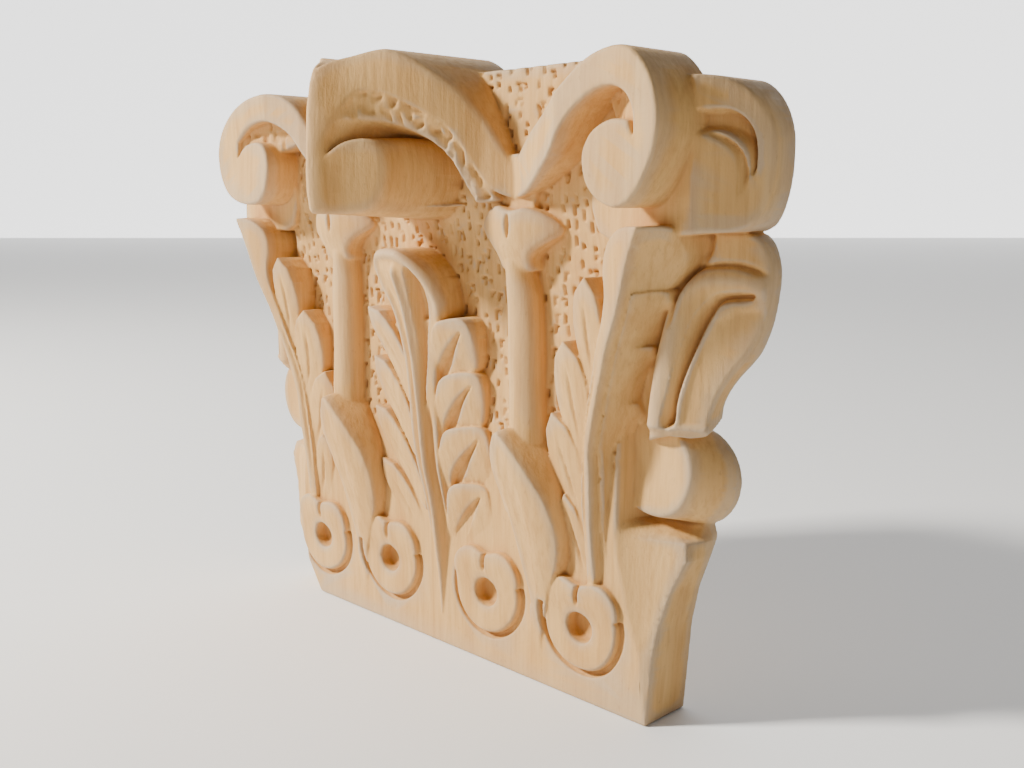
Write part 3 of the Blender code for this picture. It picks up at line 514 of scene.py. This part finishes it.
LOBES = ((36.2, 16.2), (47.8, 16.8), (58.5, 16.0), (69.2, 15.0))
CORNER_PETALS = [
    ((43.0, 20.0), (38.8, 28.0), (37.6, 39.4), 3.0),
    ((43.4, 32.0), (38.2, 41.0), (35.2, 54.2), 4.3),
    ((44.0, 44.0), (40.2, 54.0), (39.4, 67.6), 4.4),
    ((46.8, 57.0), (44.8, 66.0), (46.2, 78.8), 3.6),
]
OUTER_PETALS = [
    ((45.6, 34.0), (46.2, 39.6), (48.6, 45.0), 1.5),
    ((46.6, 43.5), (47.4, 50.6), (50.8, 56.6), 1.7),
    ((48.6, 54.5), (50.4, 61.8), (54.8, 66.8), 1.8),
    ((51.6, 64.0), (54.2, 71.6), (58.8, 76.2), 1.9),
]


def leaflet(place, x, z, shape, base_cap, lift, vein):
    """One narrow leaflet of a tall leaf, lifted toward its tip, with a thin line along it."""
    outline, spine = petal(*shape)
    distance = polygon_distance(outline, x, z)
    from_spine, along = line_distance(spine, x, z)
    cap = base_cap + lift * smooth_step(along, 0.2, 0.95) - 0.5 * (from_spine / shape[3]) ** 2
    cap = groove(cap, spine[2:-1], x, z, vein[0], vein[1], fade=0.35)
    add(place, distance, cap, edge=0.35, fillet=0.05)


def lobe(place, x, z, top, reach, base_cap):
    """One broad leaflet of the centre leaf, split by a blade-shaped gouge."""
    outline = [(2.6, top - 21), (3.0, top - 12), (4.4, top - 6.5), (6.2, top - 1.8), (9.6, top - 0.2),
               (reach - 1.6, top), (reach, top - 2.8), (reach - 0.1, top - 7.6), (reach - 1.8, top - 11.5),
               (8.4, top - 14.5), (4.6, top - 20)]
    gouge = [(-10.4, -15.4), (-10.7, -11.8), (-9.2, -8.8), (-6.2, -5.4), (-2.0, -2.2), (-4.5, -6.4),
             (-6.9, -10.6)]
    gouge = [(reach + out, top + level) for out, level in gouge]
    cap = base_cap + 1.5 * smooth_step(z, top - 16.0, top - 2.0) - 0.012 * (x - 8.0) ** 2
    cap = gouged(cap, curve_through(gouge, steps=4), x, z, 1.9, 2.3)
    add(place, polygon_distance(curve_through(outline, steps=4), x, z), cap, edge=0.4, fillet=0.06)


def centre_leaf():
    place, x, z = window(-24, 24, 5, 85)
    ridge = np.interp(z, *CENTRE_RIDGE)
    blade = curve_through([(2.0, 14), (8.5, 24), (12.0, 33), (12.0, 44), (12.4, 54), (10.4, 62), (7.4, 68),
                           (-6.6, 68), (-10.0, 63), (-11.6, 54), (-11.6, 44), (-11.0, 33), (-7.6, 24),
                           (-2.0, 14)], steps=4)
    base = np.clip(ridge - 1.0 - 0.17 * np.abs(x), 0.0, None)
    add(place, polygon_distance(blade, x, z), base - 1.2, edge=0.4)
    for top, reach in LOBES:
        lobe(place, x, z, top, reach, base - 0.3)
        leaf_tip = (reach + 0.6, top + 0.6)
        shape = ((2.6, top - 20.0), (7.6, top - 9.5), leaf_tip, 3.4)
        leaflet(place, -x, z, shape, base - 0.2, 1.4, (0.6, 0.35))
    body = [(3.0, 8.0), (3.4, 20.0), (4.2, 32.0), (4.6, 46.0), (4.8, 56.0), (5.8, 63.0), (8.4, 69.4),
            (8.2, 74.2), (5.9, 78.6), (1.2, 81.7), (-4.0, 82.2), (-7.9, 81.2), (-8.8, 78.6),
            (-7.7, 74.2), (-5.6, 70.6), (-4.8, 65.0), (-4.2, 56.0), (-3.6, 44.0), (-2.4, 32.0), (-1.2, 20.0),
            (-0.8, 8.0)]
    distance = polygon_distance(curve_through(body, steps=4), x, z)
    middle = np.interp(z, (8, 30, 56, 68, 79), (1.6, 1.6, 0.2, -0.4, -1.2))
    cap = ridge - 0.6 - 0.030 * (x - middle) ** 2
    rim = np.clip(-distance, 0.0, 4.0)
    cap = cap + 0.9 * smooth_step(z, 62.0, 72.0) * np.exp(-((rim - 1.1) / 1.0) ** 2)
    cap = cap + 1.1 * np.exp(-((x - middle) / 0.85) ** 2) * smooth_step(z, 80.0, 77.0)
    channel = [(1.3, 78.2), (3.2, 78.8), (5.2, 75.6), (5.3, 70.5), (4.0, 65.0), (2.9, 58.0), (1.6, 50),
               (1.3, 58.9), (1.2, 65.6), (0.9, 72.1)]
    cap = gouged(cap, curve_through(channel, steps=4), x, z, 2.4, 2.6)
    lower = curve_through([(3.6, 12), (3.4, 26), (2.7, 40), (2.2, 54)], closed=False)
    cap = groove(cap, lower, x, z, 1.5, 1.0, fade=0.2)
    other = curve_through([(-0.4, 14), (-1.0, 30), (-1.8, 46), (-2.6, 58), (-3.4, 68), (-4.8, 75)],
                          closed=False)
    cap = groove(cap, other, x, z, 1.7, 0.9, fade=0.2)
    add(place, distance, cap, edge=0.5, fillet=0.08)


def corner_leaf(side):
    """Leaf on a front corner: its inner half faces the front, its outer half falls away steeply."""
    place, x, z = window(30, 66, 5, 89, side)
    ridge = np.interp(z, *CORNER_RIDGE)
    line = np.interp(z, *CORNER_LINE)
    outward = x - line
    blade = curve_through([(43.0, 14), (39.4, 26), (38.4, 38), (39.0, 50), (41.6, 60), (46.2, 70), (50, 74),
                           (47.0, 50), (45.4, 20)], steps=4)
    base = np.clip(ridge - 0.9 + 0.14 * outward, 0.3, None)
    add(place, polygon_distance(blade, x, z), base - 1.1, edge=0.4)
    for shape in CORNER_PETALS:
        leaflet(place, x, z, shape, base - 0.1, 1.0, (0.7, 0.55))
    body = [(42.6, 6.0), (42.2, 18.0), (42.0, 30.0), (42.4, 44.0), (44.6, 56.0), (47.0, 64.0), (49.6, 71.0),
            (50.6, 76.0), (50.2, 80.2), (51.4, 84.0), (54.8, 86.6), (59.4, 87.2), (62.2, 87.0), (62.6, 83.0),
            (61.6, 80.2), (59.8, 77.8), (57.4, 75.0), (55.2, 70.4), (52.6, 64.4), (50.0, 56.8), (48.6, 50.0),
            (47.6, 42.0), (47.2, 34.0), (46.4, 24.0), (45.4, 14.0), (45.0, 6.0)]
    distance = polygon_distance(curve_through(body, steps=4), x, z)
    inner = ridge - 0.14 * np.abs(outward) - 0.024 * outward ** 2
    outer = ridge - 1.75 * np.maximum(outward, 0.0)
    cap = np.where(outward < 0, inner, outer)
    beside = [(float(np.interp(h, *CORNER_LINE)) + 1.9, h) for h in (24, 36, 48, 58, 67, 76)]
    cap = groove(cap, curve_through(beside, closed=False), x, z, 0.8, 1.6, fade=0.15)
    vein = [(float(np.interp(h, *CORNER_LINE)) - 1.6, h) for h in (24, 36, 48, 58, 66)]
    cap = groove(cap, curve_through(vein, closed=False), x, z, 0.8, 0.6, fade=0.3)
    add(place, distance, cap, edge=0.4, fillet=0.06)
    for shape in OUTER_PETALS:
        outline, spine = petal(*shape)
        scoop = [(px + 1.0, pz - 1.6) for px, pz in spine[2:]]
        lifted = outer + 0.9 - 3.0 * smooth_step(outward, 1.4, 0.2)
        leaf_cap = groove(lifted, scoop, x, z, 1.7, 3.4, fade=0.3)
        add(place, polygon_distance(outline, x, z) - 0.5, leaf_cap, edge=0.4, fillet=0.05)


# Skin over the field

def skin():
    """Surface nets: one point per cell that the surface crosses, four cells to a face."""
    inside = field < 0.0
    low = [slice(0, -1), slice(1, None)]
    count = np.zeros(tuple(size - 1 for size in field.shape), dtype=np.uint8)
    for i in (0, 1):
        for j in (0, 1):
            for k in (0, 1):
                count += inside[low[i], low[j], low[k]]
    cells = np.argwhere((count > 0) & (count < 8))
    number = np.full(count.shape, -1, dtype=np.int32)
    number[tuple(cells.T)] = np.arange(len(cells))
    total = np.zeros((len(cells), 3), dtype=np.float64)
    hits = np.zeros(len(cells), dtype=np.float64)
    corners = [(i, j, k) for i in (0, 1) for j in (0, 1) for k in (0, 1)]
    for corner in corners:
        for axis in range(3):
            if corner[axis]:
                continue
            other = tuple(1 if index == axis else corner[index] for index in range(3))
            a = field[tuple((cells + corner).T)]
            b = field[tuple((cells + other).T)]
            crosses = (a < 0) != (b < 0)
            share = np.where(crosses, a / np.where(crosses, a - b, 1.0), 0.0)
            point = np.array(corner, dtype=np.float64)[None, :].repeat(len(cells), axis=0)
            point[:, axis] = share
            total += point * crosses[:, None]
            hits += crosses
    points = cells + total / hits[:, None]
    faces = []
    for axis in range(3):
        one, two = [index for index in range(3) if index != axis]
        near = [slice(None)] * 3
        far = [slice(None)] * 3
        near[axis], far[axis] = slice(0, -1), slice(1, None)
        change = inside[tuple(near)] != inside[tuple(far)]
        edges = np.argwhere(change)
        edges = edges[(edges[:, one] > 0) & (edges[:, two] > 0)]
        edges = edges[(edges[:, one] < count.shape[one]) & (edges[:, two] < count.shape[two])]
        step_one, step_two = np.zeros(3, dtype=int), np.zeros(3, dtype=int)
        step_one[one], step_two[two] = 1, 1
        ring_cells = [edges - step_one - step_two, edges - step_two, edges, edges - step_one]
        quad = np.stack([number[tuple(cell.T)] for cell in ring_cells], axis=1)
        flip = inside[tuple(edges.T)] == (axis != 1)
        quad[flip] = quad[flip][:, ::-1]
        faces.append(quad)
    return points, np.concatenate(faces)


def sample(grid, places):
    """Reads a grid at fractional places, linearly."""
    base = np.floor(places).astype(int)
    base = np.clip(base, 0, np.array(grid.shape) - 2)
    part = places - base
    value = np.zeros(len(places))
    for i in (0, 1):
        for j in (0, 1):
            for k in (0, 1):
                weight = (np.abs(1 - i - part[:, 0]) * np.abs(1 - j - part[:, 1])
                          * np.abs(1 - k - part[:, 2]))
                value += weight * grid[base[:, 0] + i, base[:, 1] + j, base[:, 2] + k]
    return value


def box_blur(grid, radius):
    """Mean over a cube of cells, by running sums along each axis."""
    size = 2 * radius + 1
    for axis in range(3):
        pads = [(0, 0)] * 3
        pads[axis] = (radius + 1, radius)
        padded = np.pad(grid, pads, mode="edge")
        sums = np.cumsum(padded, axis=axis, dtype=np.float64)
        ahead = [slice(None)] * 3
        behind = [slice(None)] * 3
        ahead[axis], behind[axis] = slice(size, None), slice(0, -size)
        grid = ((sums[tuple(ahead)] - sums[tuple(behind)]) / size).astype(np.float32)
    return grid


board()
for side in SIDES:
    roll(side)
    wing_leaf(side)
    side_volute(side)
    stem(side)
    bud(side)
centre_leaf()
for side in SIDES:
    corner_leaf(side)
    short_leaf(side)
    prow(side)
front_volute(1, RIGHT_VOLUTE, RIGHT_HOLLOW, RIGHT_VOLUTE_PROUD)
front_volute(-1, LEFT_VOLUTE, LEFT_HOLLOW, LEFT_VOLUTE_PROUD)
for middle_x in (-RING_OUTER_X, -RING_INNER_X, RING_INNER_X, RING_OUTER_X):
    ring(middle_x)
field[:] = smooth_max(field, (-BACK_DEPTH - proud)[None, :, None] + 0 * field[:1, :, :1], 0.4)
field[:] = smooth_max(field, -up[None, None, :] + 0 * field[:1, :1, :], 0.5)

points, quads = skin()
origin = np.array([across[0], proud[0], up[0]], dtype=np.float64)
located = origin + points * CELL
world_points = np.stack([located[:, 0], GROUND_Y - located[:, 1], located[:, 2]], axis=1) * MM

raw = bpy.data.meshes.new("capital_raw")
raw.vertices.add(len(world_points))
raw.vertices.foreach_set("co", world_points.astype(np.float32).ravel())
raw.loops.add(len(quads) * 4)
raw.loops.foreach_set("vertex_index", quads.astype(np.int32).ravel())
raw.polygons.add(len(quads))
raw.polygons.foreach_set("loop_start", np.arange(0, len(quads) * 4, 4, dtype=np.int32))
raw.update(calc_edges=True)
raw.validate()
raw_object = bpy.data.objects.new("capital_raw", raw)
bpy.context.scene.collection.objects.link(raw_object)
thin = raw_object.modifiers.new("thin", "DECIMATE")
thin.ratio = min(1.0, TRIANGLES_KEPT / (2.0 * len(quads)))
evaluated = raw_object.evaluated_get(bpy.context.evaluated_depsgraph_get())
mesh = bpy.data.meshes.new_from_object(evaluated)
bpy.data.objects.remove(raw_object)
bpy.data.meshes.remove(raw)
mesh.name = "capital_carving"

# Blurred solid share at each point, in two widths: the wood material reads them for painted shade in recesses
# and slots and for edge wear with painted highlight on proud edges
solid_share = (field < 0.0).astype(np.float32)
coordinates = np.empty(len(mesh.vertices) * 3, dtype=np.float32)
mesh.vertices.foreach_get("co", coordinates)
coordinates = coordinates.reshape(-1, 3) / MM
places = np.stack([coordinates[:, 0], GROUND_Y - coordinates[:, 1], coordinates[:, 2]], axis=1)
places = (places - origin) / CELL
for name, radius_mm in (("hollow_fine", 0.8), ("hollow_wide", 2.6)):
    blurred = box_blur(solid_share, max(1, round(radius_mm / CELL)))
    layer = mesh.attributes.new(name, "FLOAT", "POINT")
    layer.data.foreach_set("value", sample(blurred, places).astype(np.float32))
mesh.shade_smooth()
carving = bpy.data.objects.new("capital_carving", mesh)
bpy.context.scene.collection.objects.link(carving)


# Bare wood, with painted shade in recesses and slots and painted highlight on proud edges

PALE_WOOD = (0.66, 0.395, 0.140, 1)
WARM_WOOD = (0.57, 0.315, 0.100, 1)
CLOUD = (0.69, 0.440, 0.185, 1)
FIBRE = (0.43, 0.225, 0.070, 1)
# Painted shade: a warmer, darker tone for recesses, standing in for the shade and warm bounced light there
RECESS_PAINTED_SHADE = (0.62, 0.330, 0.110, 1)
# Painted shade: a deep brown for the narrow punch slots and fine cracks, standing in for the shade inside
# them
SLOT_PAINTED_SHADE = (0.30, 0.125, 0.035, 1)
# Edge wear and painted highlight: a greyer tone for proud edges and ridges
WORN_EDGE_AND_HIGHLIGHT = (0.42, 0.350, 0.270, 1)
SPECK = (0.33, 0.185, 0.085, 1)
GRAIN_DEPTH = 0.00035


def wood_material():
    material = bpy.data.materials.new("bare_pale_wood_detailed")
    material.use_nodes = True
    tree = material.node_tree
    tree.nodes.clear()
    links = tree.links

    def node(kind, **values):
        made = tree.nodes.new(kind)
        for key, value in values.items():
            setattr(made, key, value)
        return made

    def math_node(operation, a, b=None, clamp=False):
        made = node("ShaderNodeMath", operation=operation, use_clamp=clamp)
        for socket, value in zip(made.inputs, (a, b)):
            if value is None:
                continue
            if isinstance(value, (int, float)):
                socket.default_value = value
            else:
                links.new(value, socket)
        return made.outputs[0]

    def ranged(value, low, high, to_low=0.0, to_high=1.0):
        made = node("ShaderNodeMapRange", interpolation_type="SMOOTHSTEP")
        links.new(value, made.inputs["Value"])
        for key, number in (("From Min", low), ("From Max", high), ("To Min", to_low), ("To Max", to_high)):
            made.inputs[key].default_value = number
        return made.outputs[0]

    def noise(scale, detail, stretch=(1, 1, 1), roughness=0.55, distortion=0.0):
        mapping = node("ShaderNodeMapping")
        mapping.inputs["Scale"].default_value = stretch
        links.new(place.outputs["Object"], mapping.inputs["Vector"])
        made = node("ShaderNodeTexNoise")
        made.inputs["Scale"].default_value = scale
        made.inputs["Detail"].default_value = detail
        made.inputs["Roughness"].default_value = roughness
        made.inputs["Distortion"].default_value = distortion
        links.new(mapping.outputs[0], made.inputs["Vector"])
        return made.outputs["Fac"]

    def mix(factor, a, b, blend="MIX"):
        made = node("ShaderNodeMix", data_type="RGBA", blend_type=blend)
        for socket, value in ((made.inputs[0], factor), (made.inputs[6], a), (made.inputs[7], b)):
            if isinstance(value, (int, float, tuple)):
                socket.default_value = value
            else:
                links.new(value, socket)
        return made.outputs[2]

    place = node("ShaderNodeTexCoord")
    fine = node("ShaderNodeAttribute", attribute_name="hollow_fine").outputs["Fac"]
    wide = node("ShaderNodeAttribute", attribute_name="hollow_wide").outputs["Fac"]

    fibre = noise(900.0, 6.0, (1.0, 1.0, 0.07), 0.62)
    streak = noise(210.0, 4.0, (1.0, 1.0, 0.05), 0.5, 0.4)
    cloud = noise(28.0, 3.0, (1.0, 1.0, 0.45), 0.5)
    speck = noise(1500.0, 2.0, (1.0, 1.0, 0.5), 0.6)

    base = mix(ranged(streak, 0.35, 0.68), PALE_WOOD, WARM_WOOD)
    base = mix(ranged(cloud, 0.35, 0.70, 0.0, 0.35), base, CLOUD)
    base = mix(ranged(fibre, 0.42, 0.66, 0.0, 0.35), base, FIBRE)
    # Painted shade: recesses, found from the wide blurred solid share, take the warmer, darker tone
    recess_painted_shade = ranged(wide, 0.53, 0.76)
    base = mix(math_node("MULTIPLY", recess_painted_shade, 0.45), base, RECESS_PAINTED_SHADE)
    # Painted shade: narrow cavities, found from the fine blurred solid share, are darkened
    slot_painted_shade = ranged(fine, 0.57, 0.80)
    base = mix(math_node("MULTIPLY", slot_painted_shade, 0.75), base, SLOT_PAINTED_SHADE)
    # Edge wear and painted highlight: fine edges and proud parts, found from the blurred solid share, turn
    # greyer
    edge = ranged(fine, 0.47, 0.36)
    proud_edge = ranged(wide, 0.46, 0.34)
    sanded_and_highlight = math_node("MAXIMUM", math_node("MULTIPLY", edge, 0.62), math_node("MULTIPLY", proud_edge, 0.42))
    sanded_and_highlight = math_node("MULTIPLY", sanded_and_highlight, ranged(cloud, 0.30, 0.62, 0.45, 1.0))
    base = mix(sanded_and_highlight, base, WORN_EDGE_AND_HIGHLIGHT)
    base = mix(ranged(speck, 0.62, 0.80, 0.0, 0.35), base, SPECK)

    bump_height = math_node("ADD", math_node("MULTIPLY", fibre, 0.6), math_node("MULTIPLY", speck, 0.3))
    bump_height = math_node("ADD", bump_height, math_node("MULTIPLY", noise(330.0, 5.0), 0.5))
    bump = node("ShaderNodeBump")
    bump.inputs["Strength"].default_value = 0.55
    bump.inputs["Distance"].default_value = GRAIN_DEPTH
    links.new(bump_height, bump.inputs["Height"])

    shader = node("ShaderNodeBsdfPrincipled")
    links.new(base, shader.inputs["Base Color"])
    links.new(ranged(fibre, 0.3, 0.7, 0.62, 0.82), shader.inputs["Roughness"])
    shader.inputs["Specular IOR Level"].default_value = 0.32
    links.new(bump.outputs[0], shader.inputs["Normal"])
    output = node("ShaderNodeOutputMaterial")
    links.new(shader.outputs[0], output.inputs["Surface"])
    return material


mesh.materials.clear()
mesh.materials.append(wood_material())
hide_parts("capital")
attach(carving, "root")


# Floor, light and camera

FLOOR_SIZE = 6.0
SCREEN_PLACE = Vector((-1.9, 1.85, 0.0))
SCREEN_HALF_WIDTH = 5.0
SCREEN_TOP = 4.0
SCREEN_GLOW = 2.0
AIM = (0.0, 0.0, 0.06)
KEY_PLACE = (-0.50, -0.62, 0.56)
KEY_SIZE = 0.12
KEY_POWER = 21.0
KEY_COLOUR = (1.0, 0.955, 0.88)
FILL_PLACE = (0.80, -0.50, 0.30)
FILL_SIZE = 0.8
FILL_POWER = 0.35
STUDIO_LIGHT = 0.12

# The camera's place and turn, worked out in units of 15.5 mm from a point above the underside
UNIT = 0.0155
UNDERSIDE_DROP = 0.94
CAMERA_X = 11.215
CAMERA_Y = -9.489
CAMERA_Z = 4.949
FOCAL_MM = 39.94
VIEW_RIGHT = (0.696, 0.718, 0.0)
VIEW_BACK = (0.709, -0.687, 0.159)


def plain_material(name, colour, roughness):
    material = bpy.data.materials.new(name)
    material.use_nodes = True
    shader = material.node_tree.nodes["Principled BSDF"]
    shader.inputs["Base Color"].default_value = colour
    shader.inputs["Roughness"].default_value = roughness
    return material


floor_mesh = bpy.data.meshes.new("floor")
corners = [(-FLOOR_SIZE, -FLOOR_SIZE, 0), (FLOOR_SIZE, -FLOOR_SIZE, 0), (FLOOR_SIZE, FLOOR_SIZE, 0),
           (-FLOOR_SIZE, FLOOR_SIZE, 0)]
floor_mesh.from_pydata(corners, [], [(0, 1, 2, 3)])
floor = bpy.data.objects.new("floor", floor_mesh)
floor_mesh.materials.append(plain_material("pale_floor", (0.90, 0.90, 0.895, 1), 0.9))
bpy.context.scene.collection.objects.link(floor)

# A white screen far behind the object
screen_mesh = bpy.data.meshes.new("screen")
along_screen = Vector(VIEW_RIGHT) * SCREEN_HALF_WIDTH
screen_foot = [SCREEN_PLACE - along_screen, SCREEN_PLACE + along_screen]
screen_head = [corner + Vector((0.0, 0.0, SCREEN_TOP)) for corner in reversed(screen_foot)]
screen_mesh.from_pydata([tuple(corner) for corner in screen_foot + screen_head], [], [(0, 1, 2, 3)])
screen_material = bpy.data.materials.new("white_screen")
screen_material.use_nodes = True
screen_shader = screen_material.node_tree.nodes["Principled BSDF"]
screen_shader.inputs["Base Color"].default_value = (0.9, 0.9, 0.9, 1)
screen_shader.inputs["Emission Color"].default_value = (1.0, 1.0, 1.0, 1)
screen_shader.inputs["Emission Strength"].default_value = SCREEN_GLOW
screen_mesh.materials.append(screen_material)
screen = bpy.data.objects.new("screen", screen_mesh)
bpy.context.scene.collection.objects.link(screen)


def area_light(name, location, aim, size, power, colour=(1.0, 1.0, 1.0)):
    data = bpy.data.lights.new(name, "AREA")
    data.shape = "SQUARE"
    data.size = size
    data.energy = power
    data.color = colour
    lamp = bpy.data.objects.new(name, data)
    lamp.location = location
    lamp.rotation_euler = (Vector(aim) - Vector(location)).to_track_quat("-Z", "Y").to_euler()
    bpy.context.scene.collection.objects.link(lamp)


area_light("key", KEY_PLACE, AIM, KEY_SIZE, KEY_POWER, KEY_COLOUR)
area_light("fill", FILL_PLACE, AIM, FILL_SIZE, FILL_POWER)

world = bpy.data.worlds.new("studio")
world.use_nodes = True
backdrop = world.node_tree.nodes["Background"]
backdrop.inputs["Color"].default_value = (1.0, 1.0, 1.0, 1)
backdrop.inputs["Strength"].default_value = STUDIO_LIGHT
bpy.context.scene.world = world

camera_data = bpy.data.cameras.new("camera")
camera_data.lens = FOCAL_MM
camera_data.sensor_width = 36.0
camera_data.clip_start = 0.01
camera = bpy.data.objects.new("camera", camera_data)
right = Vector(VIEW_RIGHT).normalized()
back = Vector(VIEW_BACK).normalized()
above = back.cross(right)
place_of_camera = Vector((CAMERA_X, CAMERA_Y, CAMERA_Z + UNDERSIDE_DROP)) * UNIT
place_of_camera.y += GROUND_Y * MM
camera.matrix_world = Matrix((
    (right.x, above.x, back.x, place_of_camera.x),
    (right.y, above.y, back.y, place_of_camera.y),
    (right.z, above.z, back.z, place_of_camera.z),
    (0, 0, 0, 1),
))
bpy.context.scene.collection.objects.link(camera)
bpy.context.scene.camera = camera
